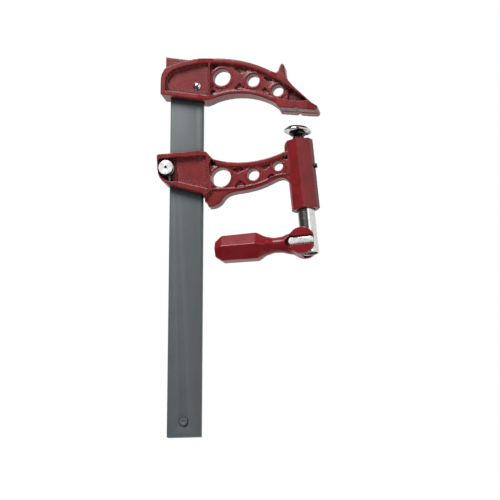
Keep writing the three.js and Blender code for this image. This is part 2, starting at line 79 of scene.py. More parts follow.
SPINDLE_UP = joints["spindle_spin"]["axis"]
PIN = joints["jaw_tilt"]["pos_m"]
BALL_CENTRE = joints["pad_tilt"]["pos_m"]
FOLD = joints["handle_fold"]["pos_m"]
HANDLE_LEAN = math.radians(3.2)  # how far the folded grip leans above square to the spindle

BAR_FRAME = local_frame((0, 0, 0), (0, 0, 1))
BRAKE_FRAME = local_frame(PIN, (0, 0, 1))
ARM_FRAME = local_frame(PIN, SPINDLE_UP)
PAD_UP = Vector(joints["pad_nod"]["axis"]).cross((0, 1, 0))
PAD_FRAME = local_frame(BALL_CENTRE, PAD_UP)
BALL_FRAME = local_frame(BALL_CENTRE, SPINDLE_UP)
SPINDLE_FRAME = local_frame(joints["spindle_spin"]["pos_m"], SPINDLE_UP)
HANDLE_FRAME = local_frame(FOLD, SPINDLE_UP) @ Matrix.Rotation(HANDLE_LEAN, 4, "Y")


# ---- mesh tools ----
def new_object(name, verts, faces, place=BAR_FRAME):
    """An object from vertices in millimetres, in the given local frame."""
    mesh = bpy.data.meshes.new(name)
    mesh.from_pydata([place @ Vector(v) for v in verts], [], faces)
    obj = bpy.data.objects.new(name, mesh)
    bpy.context.scene.collection.objects.link(obj)
    face_outwards(mesh)
    return obj


def face_outwards(mesh):
    bm = bmesh.new()
    bm.from_mesh(mesh)
    bmesh.ops.remove_doubles(bm, verts=bm.verts, dist=1e-7)
    bmesh.ops.recalc_face_normals(bm, faces=bm.faces)
    bm.to_mesh(mesh)
    bm.free()


def shade(obj, angle=38):
    """Smooth shading that keeps the edges sharper than the given angle."""
    for face in obj.data.polygons:
        face.use_smooth = True
    obj.data.set_sharp_from_angle(angle=math.radians(angle))


def applied(obj):
    """Bakes the object's modifiers into its mesh."""
    graph = bpy.context.evaluated_depsgraph_get()
    mesh = bpy.data.meshes.new_from_object(obj.evaluated_get(graph))
    obj.modifiers.clear()
    obj.data = mesh
    return obj


def combine(obj, tool, operation):
    """Joins the tool to the object or cuts it away, and removes the tool."""
    change = obj.modifiers.new("combine", "BOOLEAN")
    change.operation = operation
    change.solver = "EXACT"
    change.object = tool
    applied(obj)
    bpy.data.objects.remove(tool)
    return obj


def bevelled(obj, width, segments=3, angle=32):
    """Rounds the edges sharper than the given angle."""
    bevel = obj.modifiers.new("bevel", "BEVEL")
    bevel.width = width * MM
    bevel.segments = segments
    bevel.limit_method = "ANGLE"
    bevel.angle_limit = math.radians(angle)
    bevel.harden_normals = False
    return applied(obj)


def remeshed(obj, voxel, rounds):
    """An even skin over the whole shape, then softened, as a casting or a moulding is."""
    skin = obj.modifiers.new("skin", "REMESH")
    skin.mode = "VOXEL"
    skin.voxel_size = voxel * MM
    soften = obj.modifiers.new("soften", "SMOOTH")
    soften.factor = 0.5
    soften.iterations = rounds
    applied(obj)
    for face in obj.data.polygons:
        face.use_smooth = True
    return obj


def read_vertices(mesh, what):
    values = np.empty(len(mesh.vertices) * 3, np.float32)
    mesh.vertices.foreach_get(what, values)
    return values.reshape(-1, 3)


def roughened(obj, depth, size, seed):
    """Sinks the skin by up to the given depth, with lumps of the given size."""
    places, normals = read_vertices(obj.data, "co"), read_vertices(obj.data, "normal")
    shift = Vector((seed, 2.3 * seed, -1.7 * seed))
    lumps = [noise.fractal(Vector(place) + shift, 1.0, 2.0, 3) for place in places / (size * MM)]
    sink = depth * MM * (0.5 + 0.5 * np.clip(np.array(lumps), -1, 1))
    obj.data.vertices.foreach_set("co", (places - normals * sink[:, None]).astype(np.float32).ravel())
    obj.data.update()
    return obj


def arc(x, y, radius, start, end, steps=12):
    turns = [math.radians(start + (end - start) * i / steps) for i in range(steps + 1)]
    return [(x + radius * math.cos(t), y + radius * math.sin(t)) for t in turns]


def eased(profile, radius, steps=4, closed=False):
    """The profile with each corner rounded off, by at most the given radius."""
    count = len(profile)
    result = []
    for i, point in enumerate(profile):
        if not closed and i in (0, count - 1):
            result.append(point)
            continue
        here = Vector(point)
        before = Vector(profile[i - 1]) - here
        after = Vector(profile[(i + 1) % count]) - here
        reach = min(radius, before.length * 0.45, after.length * 0.45)
        first = here + before.normalized() * reach
        last = here + after.normalized() * reach
        for k in range(steps + 1):
            t = k / steps
            result.append(tuple(first * (1 - t) ** 2 + here * 2 * t * (1 - t) + last * t * t))
    return result


def loft(name, rings, place, closed_ends=True):
    """A skin through rings of equal count, in millimetres."""
    count = len(rings[0])
    verts = [point for ring in rings for point in ring]
    faces = []
    for r in range(len(rings) - 1):
        for i in range(count):
            j = (i + 1) % count
            faces.append((r * count + i, r * count + j, (r + 1) * count + j, (r + 1) * count + i))
    if closed_ends:
        faces.append(tuple(range(count)))
        faces.append(tuple(range(len(verts) - count, len(verts))))
    return new_object(name, verts, faces, place)


def revolved(name, profile, place, sides=96, along="Z"):
    """A body of revolution from (radius, height) pairs; it closes on the axis or on itself."""
    loop = profile[0][0] > 0
    rows = profile + [profile[0]] if loop else profile
    rings = []
    for radius, height in rows:
        ring = []
        for i in range(sides):
            turn = 2 * math.pi * i / sides
            across, depth = radius * math.cos(turn), radius * math.sin(turn)
            ring.append((across, depth, height) if along == "Z" else (across, height, depth))
        rings.append(ring)
    return loft(name, rings, place, closed_ends=False)


def drill(radius, length, place, along="Z", sides=64):
    profile = [(0, -length), (radius, -length), (radius, length), (0, length)]
    return revolved("drill", profile, place, sides, along)


def plate(name, outline, front, back, place):
    """An outline in the XZ plane, given depth along Y."""
    rings = [[(x, depth, z) for x, z in outline] for depth in (front, back)]
    return loft(name, rings, place)


def merged_copy(node, name):
    """A new object with the shape of a CAD node, its vertices joined."""
    mesh = frame["nodes"][node].data.copy()
    mesh.materials.clear()
    obj = bpy.data.objects.new(name, mesh)
    bpy.context.scene.collection.objects.link(obj)
    face_outwards(mesh)
    return obj


def finished(obj, material, body, *nodes, angle=None):
    """Gives the piece its material and its place among the moving bodies, and hides the CAD nodes it stands
    for.
    """
    if angle:
        shade(obj, angle)
    obj.data.materials.clear()
    obj.data.materials.append(material)
    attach(obj, body)
    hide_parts(*nodes)
    return obj


# ---- materials ----
class Shader:
    """A Principled material with small helpers for its procedural nodes."""

    def __init__(self, name):
        self.material = bpy.data.materials.new(name)
        self.material.use_nodes = True
        self.nodes = self.material.node_tree.nodes
        self.links = self.material.node_tree.links
        self.surface = self.nodes["Principled BSDF"]
        self.place = self.nodes.new("ShaderNodeTexCoord").outputs["Object"]

    def set(self, **values):
        for name, value in values.items():
            self.surface.inputs[name.replace("_", " ")].default_value = value

    def link(self, source, target):
        self.links.new(source, target)

    def noise(self, size, detail=3.0, roughness=0.55, stretch=(1, 1, 1), distortion=0.0):
        """Noise with lumps of about the given size in millimetres."""
        mapping = self.nodes.new("ShaderNodeMapping")
        mapping.inputs["Scale"].default_value = [s / (size * MM) for s in stretch]
        self.link(self.place, mapping.inputs["Vector"])
        texture = self.nodes.new("ShaderNodeTexNoise")
        texture.inputs["Scale"].default_value = 1.0
        texture.inputs["Detail"].default_value = detail
        texture.inputs["Roughness"].default_value = roughness
        texture.inputs["Distortion"].default_value = distortion
        self.link(mapping.outputs["Vector"], texture.inputs["Vector"])
        return texture.outputs["Fac"]

    def ramp(self, source, low, high, start=0.0, end=1.0):
        """Maps the source's low..high onto start..end."""
        node = self.nodes.new("ShaderNodeMapRange")
        node.interpolation_type = "SMOOTHSTEP"
        for key, value in zip(("From Min", "From Max", "To Min", "To Max"), (low, high, start, end)):
            node.inputs[key].default_value = value
        self.link(source, node.inputs["Value"])
        return node.outputs["Result"]

    def blend(self, factor, first, second):
        node = self.nodes.new("ShaderNodeMix")
        node.data_type = "RGBA"
        sockets = [s for s in node.inputs if s.type == "RGBA"]
        self.feed(factor, node.inputs["Factor"])
        self.feed(first, sockets[0])
        self.feed(second, sockets[1])
        return next(s for s in node.outputs if s.type == "RGBA")

    def feed(self, value, socket):
        if isinstance(value, tuple):
            socket.default_value = (*value, 1.0)
        elif isinstance(value, (int, float)):
            socket.default_value = value
        else:
            self.link(value, socket)

    def maths(self, operation, first, second=0.0, clamp=False):
        node = self.nodes.new("ShaderNodeMath")
        node.operation = operation
        node.use_clamp = clamp
        self.feed(first, node.inputs[0])
        self.feed(second, node.inputs[1])
        return node.outputs[0]

    def edges(self, radius, sharp=0.35):
        """1 on the edges of the shape, 0 on its flats."""
        bevel = self.nodes.new("ShaderNodeBevel")
        bevel.samples = 4
        bevel.inputs["Radius"].default_value = radius * MM
        geometry = self.nodes.new("ShaderNodeNewGeometry")
        compare = self.nodes.new("ShaderNodeVectorMath")
        compare.operation = "DOT_PRODUCT"
        self.link(bevel.outputs["Normal"], compare.inputs[0])
        self.link(geometry.outputs["True Normal"], compare.inputs[1])
        return self.ramp(compare.outputs["Value"], 1.0, 1.0 - sharp)

    def hollows(self, reach):
        """1 in corners and recesses narrower than the reach in millimetres, 0 in the open."""
        node = self.nodes.new("ShaderNodeAmbientOcclusion")
        node.samples = 8
        node.inputs["Distance"].default_value = reach * MM
        return self.ramp(node.outputs["AO"], 0.95, 0.3)

    def bump(self, *layers):
        """Height layers of (source, strength, depth in mm), one over the other."""
        below = None
        for source, strength, depth in layers:
            node = self.nodes.new("ShaderNodeBump")
            node.inputs["Strength"].default_value = strength
            node.inputs["Distance"].default_value = depth * MM
            self.link(source, node.inputs["Height"])
            if below:
                self.link(below, node.inputs["Normal"])
            below = node.outputs["Normal"]
        self.link(below, self.surface.inputs["Normal"])


def paint():
    """Dark red paint over a rough casting, with painted sparkle highlights as pale grains in its recessed
    panels, lighter edges that are partly wear and partly painted highlight, and painted shade in its corners
    and recesses.
    """
    s = Shader("cast_paint")
    patches = s.ramp(s.noise(14, 2), 0.35, 0.65)
    colour = s.blend(patches, (0.155, 0.0085, 0.0105), (0.205, 0.0115, 0.0135))
    grain = s.noise(1.2, 4, 0.7)
    # Pale grains in the panels that the corners half hem in: painted sparkle highlights of the rough casting.
    high = s.ramp(grain, 0.5, 0.62)
    open_air = s.maths("SUBTRACT", 1.0, s.hollows(24))
    panel = s.maths("SUBTRACT", 1.0, s.ramp(open_air, 0.75, 1.0))
    colour = s.blend(s.maths("MULTIPLY", high, s.maths("MULTIPLY", panel, 0.9)), colour, (0.55, 0.2, 0.2))
    # Lighter red in patches along the edges: partly wear, partly painted highlight.
    wear_and_highlight = s.maths("MULTIPLY", s.edges(0.8), s.ramp(s.noise(2.2, 3), 0.42, 0.7))
    colour = s.blend(s.maths("MULTIPLY", wear_and_highlight, 0.35), colour, (0.34, 0.08, 0.085))
    # Towards near black in corners and recesses: painted shade.
    colour = s.blend(s.maths("MULTIPLY", s.hollows(14), 0.6), colour, (0.07, 0.006, 0.0065))
    colour = s.blend(s.maths("MULTIPLY", s.hollows(6), 0.9), colour, (0.012, 0.002, 0.002))
    s.feed(colour, s.surface.inputs["Base Color"])
    s.feed(s.ramp(grain, 0.3, 0.7, 0.34, 0.46), s.surface.inputs["Roughness"])
    s.set(Specular_IOR_Level=0.22, Coat_Weight=0.35, Coat_Roughness=0.22)
    s.bump((s.noise(5, 3), 0.3, 0.2), (grain, 0.35, 0.08), (s.noise(0.4, 2), 0.2, 0.03))
    return s.material


def bar_steel():
    """Drawn bar, satin, with faint lines along its length, painted shade along its edges and painted shadow
    where it is hemmed in, as under the jaws.
    """
    s = Shader("bar_steel")
    lines = s.noise(0.5, 4, 0.6, stretch=(1, 1, 0.01))
    clouds = s.ramp(s.noise(30, 3), 0.3, 0.7)
    colour = s.blend(clouds, (0.085, 0.101, 0.109), (0.097, 0.113, 0.121))
    colour = s.blend(s.ramp(lines, 0.4, 0.75, 0.0, 0.12), colour, (0.15, 0.16, 0.17))
    # Darker along the edges: painted shade of the rounded edges.
    colour = s.blend(s.maths("MULTIPLY", s.edges(0.7), 0.5), colour, (0.05, 0.052, 0.055))
    # Near black where the bar is hemmed in, as under the jaws: painted shadow.
    colour = s.blend(s.maths("MULTIPLY", s.hollows(12), 0.9), colour, (0.008, 0.011, 0.013))
    s.feed(colour, s.surface.inputs["Base Color"])
    s.feed(s.ramp(lines, 0.3, 0.7, 0.42, 0.52), s.surface.inputs["Roughness"])
    s.set(Specular_IOR_Level=0.3)
    s.bump((s.noise(12, 2), 0.15, 0.08), (lines, 0.15, 0.02), (s.noise(0.35, 3), 0.3, 0.015))
    return s.material


def plated_steel():
    """Bright plated steel, nearly a mirror, with fine turning lines and a few dull spots."""
    s = Shader("plated_steel")
    dull = s.ramp(s.noise(4, 4, 0.6), 0.5, 0.75)
    colour = s.blend(dull, (0.72, 0.71, 0.695), (0.5, 0.485, 0.47))
    s.feed(colour, s.surface.inputs["Base Color"])
    fine = s.noise(0.5, 3, 0.6, stretch=(1, 1, 3))
    roughness = s.maths("ADD", s.ramp(dull, 0, 1, 0.17, 0.3), s.ramp(fine, 0.4, 0.7, 0.0, 0.06))
    s.feed(roughness, s.surface.inputs["Roughness"])
    s.set(Metallic=1.0)
    s.bump((s.noise(3, 3), 0.15, 0.06), (fine, 0.12, 0.012))
    return s.material


def machined_steel():
    """Bright machined steel, satin, with grey smudges and painted shade darkening its corners."""
    s = Shader("machined_steel")
    grain = s.noise(0.6, 4, 0.6)
    colour = s.blend(s.ramp(s.noise(5, 3), 0.35, 0.65), (0.86, 0.86, 0.85), (0.74, 0.74, 0.73))
    smudges = s.ramp(s.noise(3.2, 4, 0.6), 0.5, 0.68)
    colour = s.blend(s.maths("MULTIPLY", smudges, 0.7), colour, (0.4, 0.41, 0.43))
    # Near black in corners and recesses: painted shade.
    colour = s.blend(s.maths("MULTIPLY", s.hollows(8), 0.9), colour, (0.03, 0.025, 0.025))
    s.feed(colour, s.surface.inputs["Base Color"])
    s.feed(s.ramp(grain, 0.3, 0.7, 0.3, 0.45), s.surface.inputs["Roughness"])
    s.set(Metallic=0.35)
    s.bump((grain, 0.25, 0.02), (s.noise(2.5, 2), 0.2, 0.03))
    return s.material


def dark_steel():
    """Blackened, oiled steel, brighter where it rubs, and with painted shade darkening its hollows."""
    s = Shader("dark_steel")
    patches = s.ramp(s.noise(2.5, 4, 0.6), 0.38, 0.68)
    colour = s.blend(patches, (0.045, 0.04, 0.036), (0.13, 0.12, 0.108))
    colour = s.blend(s.maths("MULTIPLY", s.edges(0.35), 0.55), colour, (0.32, 0.31, 0.3))
    # Near black in hollows: painted shade.
    colour = s.blend(s.maths("MULTIPLY", s.hollows(8), 0.85), colour, (0.01, 0.009, 0.008))
    s.feed(colour, s.surface.inputs["Base Color"])
    s.feed(s.ramp(s.noise(1.2, 3), 0.3, 0.7, 0.26, 0.46), s.surface.inputs["Roughness"])
    s.set(Metallic=0.9)
    s.bump((s.noise(0.7, 4), 0.3, 0.04))
    return s.material


def plastic():
    """Glossy dark red moulding, faintly mottled, with lighter ridges that are partly rubbing and partly
    painted highlight, and painted shade in its hollows.
    """
    s = Shader("handle_plastic")
    clouds = s.ramp(s.noise(18, 3), 0.35, 0.65)
    colour = s.blend(clouds, (0.19, 0.0045, 0.0085), (0.225, 0.0065, 0.011))
    # Lighter red in patches along the ridges: partly rubbing, partly painted highlight.
    rub_and_highlight = s.maths("MULTIPLY", s.edges(1.2), s.ramp(s.noise(3, 3), 0.3, 0.7, 0.35, 1.0))
    colour = s.blend(s.maths("MULTIPLY", rub_and_highlight, 0.1), colour, (0.42, 0.07, 0.08))
    # Near black in hollows: painted shade.
    colour = s.blend(s.maths("MULTIPLY", s.hollows(5), 0.75), colour, (0.02, 0.002, 0.003))
    s.feed(colour, s.surface.inputs["Base Color"])
    s.feed(s.ramp(s.noise(1.6, 4), 0.3, 0.7, 0.3, 0.4), s.surface.inputs["Roughness"])
    s.set(Specular_IOR_Level=0.2, Coat_Weight=0.2, Coat_Roughness=0.14)
    s.bump((s.noise(12, 2), 0.2, 0.15), (s.noise(0.9, 3, 0.5), 0.05, 0.01))
    return s.material


PAINT = paint()
BAR = bar_steel()
PLATED = plated_steel()
MACHINED = machined_steel()
DARK = dark_steel()
PLASTIC = plastic()


# ---- the cast jaws ----
CASTING = {"voxel": 0.65, "rounds": 4, "grain_depth": 0.1, "grain_size": 1.1}


def cast_jaw(node, body, seed):
    """The CAD jaw with softened edges and a fine sunken grain."""
    jaw = merged_copy(node, node + "_casting")
    remeshed(jaw, CASTING["voxel"], CASTING["rounds"])
    roughened(jaw, CASTING["grain_depth"], CASTING["grain_size"], seed)
    return finished(jaw, PAINT, body, node)


# ---- bar ----
def bar():
    obj = merged_copy("bar", "bar_drawn")
    bevelled(obj, 0.35, 2, 50)
    return finished(obj, BAR, "frame", "bar", angle=30)


def stop_pin():
    """A plain pin with a dished face, the size of its CAD node."""
    low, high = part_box("bar_stop_pin")
    centre = (low + high) / 2
    half, radius = (high.y - low.y) / 2 / MM, (high.x - low.x) / 2 / MM
    face = [(0, half - 0.5), (1.4, half - 0.4), (2.2, half)]
    profile = [(r, -h) for r, h in face] + [(radius, -half), (radius, half)] + face[::-1]
    obj = revolved("bar_stop_pin_rod", eased(profile, 0.8), local_frame(centre, (0, 0, 1)), 64, "Y")
    return finished(obj, BAR, "frame", "bar_stop_pin", angle=30)


def rivet():
    """A rivet with a domed head in front and a plain end behind."""
    low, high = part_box("fixed_jaw_rivet")
    centre = (low + high) / 2
    front, back, head = low.y / MM, high.y / MM, (high.x - low.x) / 2 / MM
    seat, shank = 7.25, 2.95
    dome = [(0, front), (1.5, front + 0.12), (2.9, front + 0.7), (4.0, front + 1.6)]
    profile = dome + [(head, -seat - 0.3), (head, -seat), (shank, -seat), (shank, back), (0, back)]
    place = local_frame((centre.x, 0, centre.z), (0, 0, 1))
    obj = revolved("fixed_jaw_rivet_domed", eased(profile, 0.5), place, 64, "Y")
    return finished(obj, PLATED, "frame", "fixed_jaw_rivet", angle=40)


# ---- brake pin ----
BRAKE = {"radius": 7.7, "half": 13.8, "flat": 1.8, "flat_half": 4.6}
PUNCH = 1.5  # radius of the centre mark in the brake pin's face
KEEPER = {"radius": 1.6, "x": 2.2, "y": -9.6, "top": -5.6, "length": 12}
KEEPER_GROOVE = {"half": 2.1, "depth": 2.6}


def brake_pin():
    """A grooved pin with a seat cut across its middle for the bar, and sides and centre mark darkened as
    painted shade.
    """
    radius, half = BRAKE["radius"], BRAKE["half"]
    face = [(0, -half + 2.4), (PUNCH - 0.1, -half + 0.3), (PUNCH, -half)]
    for ring in (2.8, 4.4, 6.0):
        face += [(ring - 0.25, -half), (ring, -half + 0.1), (ring + 0.25, -half)]
    groove_y, groove_half, groove_depth = KEEPER["y"], KEEPER_GROOVE["half"], KEEPER_GROOVE["depth"]
    side = [
        (radius, -half),
        (radius, groove_y - groove_half),
        (radius - groove_depth, groove_y - groove_half),
        (radius - groove_depth, groove_y + groove_half),
        (radius, groove_y + groove_half),
        (radius, half),
        (0, half),
    ]
    obj = revolved("brake_pin_turned", eased(face + side, 0.5, 3), BRAKE_FRAME, 96, "Y")
    flat, tall, deep = BRAKE["flat"], 12, BRAKE["flat_half"]
    outline = [(flat, -tall), (flat + tall, -tall), (flat + tall, tall), (flat, tall)]
    combine(obj, plate("seat", outline, -deep, deep, BRAKE_FRAME), "DIFFERENCE")
    finished(obj, MACHINED, "brake", "brake_pin", angle=28)
    # The sides and the centre mark get the dark steel: painted shade where the pin sits in its shadowed
    # pocket and in the punch mark.
    obj.data.materials.append(DARK)
    centre = Vector(PIN)
    for polygon in obj.data.polygons:
        offset = polygon.center - centre
        across = math.hypot(offset.x, offset.z) / MM
        punched = offset.y < 0 and across < PUNCH
        on_side = across > radius - 1 and abs(polygon.normal.y) < 0.5
        polygon.material_index = int(punched or on_side)
    return obj


def keeper():
    radius, top = KEEPER["radius"], KEEPER["top"]
    bottom = top - KEEPER["length"]
    profile = [(0, bottom), (radius - 0.3, bottom + 0.1), (radius, bottom + 0.5), (radius, top), (0, top)]
    place = ARM_FRAME @ Matrix.Translation((KEEPER["x"], KEEPER["y"], 0))
    obj = revolved("brake_pin_keeper_rod", eased(profile, 0.4), place, 32)
    return finished(obj, DARK, "arm", "brake_pin_keeper", angle=40)


# ---- spindle ----
SPINDLE = {"radius": 7, "bottom": -108, "neck": 5.9, "neck_bottom": 9,
           "neck_top": 15, "shoulder": 15.7, "stud": 3, "stud_top": 19.6}
THREAD = {"pitch": 4, "depth": 1.7, "top": 7.4, "bottom": -66}
NUT = {"radius": 9.8, "bottom": -24.7, "top": 10.7, "bore": 7.5}
LOCK = {"radius": 2.6, "z": -18, "inner": 8.4, "outer": 16.5, "socket": 1.1}
TUBE = {"radius": 8.8, "bore": 7.3, "top": -57, "bottom": -109.6}
PIVOT = {"z": -97.8, "radius": 3.4}


def pivot_bore(obj):
    """Cuts the hole for the handle's pivot pin across the spindle's lower end."""
    place = SPINDLE_FRAME @ Matrix.Translation((0, 0, PIVOT["z"]))
    combine(obj, drill(PIVOT["radius"] + GAP, 30, place, "Y"), "DIFFERENCE")


def thread_depth(phase):
    """How deep the thread is cut at a share of the pitch: crest, flank, root, flank."""
    crest, flank = 0.3, 0.22
    if phase < crest:
        return 0.0
    if phase < crest + flank:
        return (phase - crest) / flank
    if phase < 1 - flank:
        return 1.0
    return (1 - phase) / flank


def circle(radius, z, sides):
    turns = [2 * math.pi * i / sides for i in range(sides)]
    return [(radius * math.cos(t), radius * math.sin(t), z) for t in turns]


def thread_ring(z, fade, sides):
    """A section through the thread, which shifts round as z rises and gets shallow as fade goes to 0."""
    ring = []
    for i in range(sides):
        turn = 2 * math.pi * i / sides
        phase = (z / THREAD["pitch"] - i / sides) % 1.0
        radius = SPINDLE["radius"] - THREAD["depth"] * thread_depth(phase) * fade
        ring.append((radius * math.cos(turn), radius * math.sin(turn), z))
    return ring


def screw():
    """The spindle: a plain foot, a helical thread that runs out at both ends, a neck and a stud."""
    sides, step = 60, THREAD["pitch"] / 14
    radius, bottom = SPINDLE["radius"], SPINDLE["bottom"]
    rings = [[(0, 0, bottom)] * sides]
    for across, z in ((radius - 0.7, bottom), (radius, bottom + 0.7), (radius, THREAD["bottom"])):
        rings.append(circle(across, z, sides))
    count = int((THREAD["top"] - THREAD["bottom"]) / step)
    for k in range(count + 1):
        fade = min(1.0, k * step / 2.5, (count - k) * step / 1.2)
        rings.append(thread_ring(THREAD["bottom"] + step * k, fade, sides))
    head = [
        (radius, SPINDLE["neck_bottom"] - 1.2),
        (SPINDLE["neck"], SPINDLE["neck_bottom"]),
        (SPINDLE["neck"], SPINDLE["neck_top"]),
        (BALL["seat"], SPINDLE["shoulder"]),
        (SPINDLE["stud"], SPINDLE["shoulder"]),
        (SPINDLE["stud"], SPINDLE["stud_top"]),
        (0, SPINDLE["stud_top"]),
    ]
    rings += [circle(across, z, sides) for across, z in eased(head, 0.5, 3)]
    obj = loft("spindle_screw_threaded", rings, SPINDLE_FRAME, closed_ends=False)
    pivot_bore(obj)
    return finished(obj, DARK, "spindle", "spindle_screw", angle=35)


def tube():
    radius, bore = TUBE["radius"], TUBE["bore"]
    profile = [(bore, TUBE["bottom"]), (radius, TUBE["bottom"]), (radius, TUBE["top"]), (bore, TUBE["top"])]
    obj = revolved("spindle_tube_plated", eased(profile, 0.5, 4, closed=True), SPINDLE_FRAME, 128)
    pivot_bore(obj)
    return finished(obj, PLATED, "spindle", "spindle_tube", angle=35)


def lock_place(distance):
    """A frame on the lock screw's axis, at the given distance from the spindle's axis."""
    return SPINDLE_FRAME @ Matrix.Translation((distance, 0, LOCK["z"])) @ Matrix.Rotation(math.pi / 2, 4, "Y")


def nut():
    """The threaded bush, shown as a plain bore, with the lock screw's seat in its side."""
    radius, bore, low, high = NUT["radius"], NUT["bore"], NUT["bottom"], NUT["top"]
    outside = [(bore + 0.8, low), (radius, low), (radius, high), (bore + 0.9, high)]
    profile = outside + [(bore, high - 0.9), (bore, low + 0.8)]
    obj = revolved("spindle_nut_bush", eased(profile, 0.3, 3, closed=True), SPINDLE_FRAME, 96)
    reach = 5
    combine(obj, drill(LOCK["radius"] + GAP, reach + GAP, lock_place(LOCK["inner"] + reach)), "DIFFERENCE")
    return finished(obj, DARK, "arm", "spindle_nut", angle=35)


def lock_screw():
    radius, inner, outer, socket = LOCK["radius"], LOCK["inner"], LOCK["outer"], LOCK["socket"]
    profile = [(0, inner), (radius - 0.6, inner), (radius, inner + 0.8)]
    profile += [(radius, outer - 0.6), (radius - 0.7, outer)]
    profile += [(socket, outer - 0.1), (socket - 0.1, outer - 1.2), (0, outer - 1.3)]
    obj = revolved("nut_lock_screw_nub", eased(profile, 0.3, 3), lock_place(0), 48)
    return finished(obj, DARK, "arm", "nut_lock_screw", angle=40)


# ---- swivel pad ----
BALL = {"radius": 7, "seat": 4.7, "crown": 5, "socket": 3.3, "socket_top": -1.3}
COLLAR = {"radius": 8.6, "foot": 7.9, "bottom": -4, "top": -0.4, "grip": 30}
PAD = {"radius": 14.4, "rise": 4, "lip": 0.6, "wall": 1.3}


def pad_ball():
    radius = BALL["radius"]
    low = -math.degrees(math.acos(BALL["seat"] / radius))
    side = arc(0, 0, radius, low, BALL["crown"], 20)
    inside = [(0, side[-1][1]), (0, BALL["socket_top"]), (BALL["socket"], BALL["socket_top"])]
    obj = revolved("pad_ball_turned", [(BALL["socket"], side[0][1])] + side + inside, BALL_FRAME)
    return finished(obj, DARK, "feed_carrier", "pad_ball", angle=30)


def collar():
    inner = arc(0, 0, BALL["radius"] + GAP, -3, -COLLAR["grip"], 8)
    outer = [(COLLAR["foot"], COLLAR["bottom"]), (COLLAR["radius"], COLLAR["bottom"] + 0.8)]
    profile = [inner[-1]] + outer + [(COLLAR["radius"], COLLAR["top"])] + inner[:-1]
    obj = revolved("pad_collar_ring", eased(profile, 0.4, 3, closed=True), PAD_FRAME, 96)
    return finished(obj, DARK, "pad_ring", "pad_collar", angle=35)


def cap():
    """A pressed cap: flat face with a shallow ring in it, a round shoulder and a drooping lip."""
    radius, rise, lip, wall = PAD["radius"], PAD["rise"], PAD["lip"], PAD["wall"]
    ring = [(5.2, rise), (4.9, rise - 0.25), (4.4, rise - 0.25), (4.1, rise)]
    top = [(radius, -lip), (radius, 0.6), (13, rise - 1.5), (11.2, rise - 0.1), (9.6, rise)]
    under = [(0, rise - wall), (9.3, rise - wall), (11.5, rise - wall - 0.9)]
    under += [(radius - wall, 0), (radius - wall, -lip)]
    profile = under + top + ring + [(0, rise)]
    obj = revolved("pad_cap_pressed", eased(profile, 0.9, 5), PAD_FRAME, 128)
    return finished(obj, PLATED, "pad", "pad_cap", angle=45)


# ---- handle ----
GRIP = {"far": 97.4, "shoulder": 89.6, "near": 54, "neck": 36, "height": 13, "depth": 14.5}
HEAD = {"offset": 6.3, "radius": 14, "cheek": 13, "lobe": 15, "lobe_edge": 5.6}
FORK = {"half": 9.4, "radius": 15.4}
KEY = {"half": 4.1, "right": 6.2, "left": 19.8, "base": 10, "top": 14.4}


def smooth_step(value, start, end):
    t = max(0.0, min(1.0, (value - start) / (end - start)))
    return t * t * (3 - 2 * t)


def grip_ring(x, height, depth, roundness, count=72):
    """A section across the grip: six sides that turn into an oval as roundness goes from 0 to 1."""
    side = depth / 2
    corners = [(side, height), (depth, 0), (side, -height), (-side, -height), (-depth, 0), (-side, height)]
    ring = []
    for i in range(count):
        place = i / count * 6
        corner = int(place)
        a, b = Vector(corners[corner]), Vector(corners[(corner + 1) % 6])
        point = a.lerp(b, place - corner)
        turn = math.atan2(point.y / height, point.x / depth)
        oval = Vector((depth * math.cos(turn), height * math.sin(turn))) * 0.93
        y, z = point.lerp(oval, roundness)
        ring.append((x, y, z))
    return ring


def grip_size(x):
    """Half height, half depth and roundness of the grip at x, from the end cap to the head."""
    stations = [
        (-GRIP["far"], 7.6, 8.2, 0.0),
        (-GRIP["shoulder"], GRIP["height"], GRIP["depth"], 0.0),
        (-GRIP["near"], GRIP["height"] + 0.6, GRIP["depth"], 0.0),
        (-GRIP["neck"] - 7, 9.6, 10.6, 0.7),
        (-GRIP["neck"], 8.3, 9.2, 1.0),
        (-29, 8.7, 9.6, 1.0),
        (-20, 11.2, 11.6, 0.8),
        (-12, 12.6, 12.9, 0.6),
    ]
    for first, last in zip(stations, stations[1:]):
        if x <= last[0]:
            t = (x - first[0]) / (last[0] - first[0])
            if first[0] > -GRIP["near"] - 1:
                t = smooth_step(t, 0, 1) * 0.5 + t * 0.5
            return [a + (b - a) * t for a, b in zip(first[1:], last[1:])]
    return list(stations[-1][1:])


def grip():
    """The six-sided grip and its waist, up to the head."""
    start, end, steps = -GRIP["near"], -12, 24
    xs = [-GRIP["far"], -GRIP["shoulder"], start]
    xs += [start + (end - start) * i / steps for i in range(1, steps + 1)]
    obj = loft("handle_moulding", [grip_ring(x, *grip_size(x)) for x in xs], HANDLE_FRAME)
    return bevelled(obj, 3.2, 6, 20)


def head_block():
    """The round head, drawn in to the left so that it grows out of the waist."""
    offset, radius, cheek, reach = HEAD["offset"], HEAD["radius"], HEAD["cheek"], 30
    outline = arc(-offset, 0, radius, 114, 27, 16) + arc(-offset, 0, radius, -27, -114, 16)
    head = plate("head", outline + [(-23, -6.5), (-23, 6.5)], -cheek, cheek, HANDLE_FRAME)
    far = cheek + 0.1
    plan = [(-24, -5.5), (-14, -far), (reach, -far), (reach, far), (-14, far), (-24, 5.5)]
    sideways = HANDLE_FRAME @ Matrix.Rotation(math.pi / 2, 4, "X")
    return combine(head, plate("plan", plan, -reach, reach, sideways), "INTERSECT")


